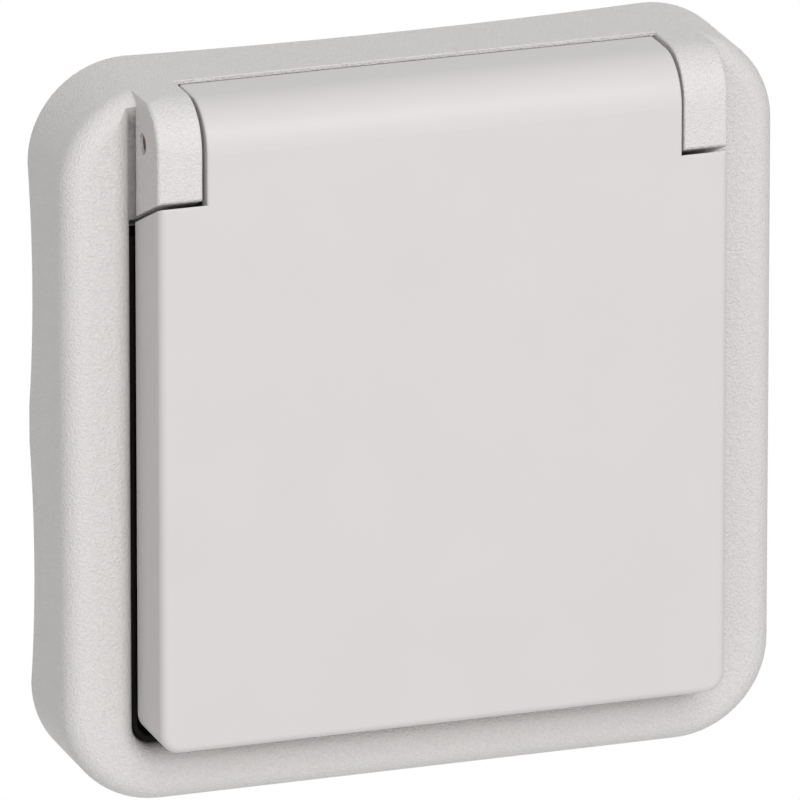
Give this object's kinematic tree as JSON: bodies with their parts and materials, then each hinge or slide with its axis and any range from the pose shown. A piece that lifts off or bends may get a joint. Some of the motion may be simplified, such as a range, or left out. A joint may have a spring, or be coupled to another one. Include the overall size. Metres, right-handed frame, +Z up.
{
  "type": "wall socket",
  "caption": "Splash-proof flush wall socket: soft square frame, protruding spring-shut hinged lid, round plug well with side earth springs, and an indicator light window below the well.",
  "frame": {"origin": "centre of the box screw pattern, on the wall plane behind the support strap", "axes": "+X right seen from the front, +Y into the wall, +Z up; the lid faces -Y"},
  "size_m": [0.082, 0.0559, 0.082],
  "materials": {
    "frame_plastic": "fine spark-eroded grain",
    "lid_plastic": "smooth satin",
    "face_plastic": "polished moulding",
    "base_plastic": "matt thermoset",
    "shutter_plastic": "as moulded",
    "seal_rubber": "matt",
    "pin_steel": "turned",
    "spring_steel": "drawn wire",
    "screw_steel": "zinc plated",
    "strap_steel": "zinc plated sheet",
    "contact_brass": "stamped",
    "lens_plastic": "clear tinted",
    "led_plastic": "cast resin",
    "board_laminate": "solder mask",
    "resistor_body": "coated"
  },
  "bodies": {
    "socket_body": {"cover_frame": "frame_plastic", "hinge_pin_left": "pin_steel", "hinge_pin_right": "pin_steel", "lid_spring": "spring_steel", "wall_gasket": "seal_rubber", "plate_gasket": "seal_rubber", "socket_faceplate": "face_plastic", "centre_screw": "screw_steel", "screw_insert": "contact_brass", "support_strap": "strap_steel", "strap_rivets": "screw_steel", "contact_base": "base_plastic", "rear_cover": "base_plastic", "cover_screws": "screw_steel", "line_contact": "contact_brass", "neutral_contact": "contact_brass", "line_terminal": "contact_brass", "neutral_terminal": "contact_brass", "earth_terminal": "contact_brass", "terminal_screws": "screw_steel", "earth_bracket": "contact_brass", "shutter_spring": "spring_steel", "indicator_lens": "lens_plastic", "indicator_led": "led_plastic", "indicator_board": "board_laminate", "dropper_resistor": "resistor_body", "indicator_pins": "contact_brass"},
    "lid": {"hinged_lid": "lid_plastic", "lid_gasket": "seal_rubber"},
    "shutter": {"safety_shutter": "shutter_plastic"}
  },
  "joints": [
    {"name": "lid_hinge", "type": "hinge", "parent": "socket_body", "child": "lid", "pos_m": [0, -0.0149, 0.0357], "axis": [-1, 0, 0], "range_deg": [0, 105], "stiffness_Nm_per_rad": 0.01, "springref_deg": -28.65, "deforming": ["lid_spring"]},
    {"name": "shutter_slide", "type": "slide", "parent": "socket_body", "child": "shutter", "axis": [0, 0, 1], "range_m": [0, 0.0062], "stiffness_N_per_m": 60, "springref_m": -0.003, "deforming": ["shutter_spring"]}
  ]
}
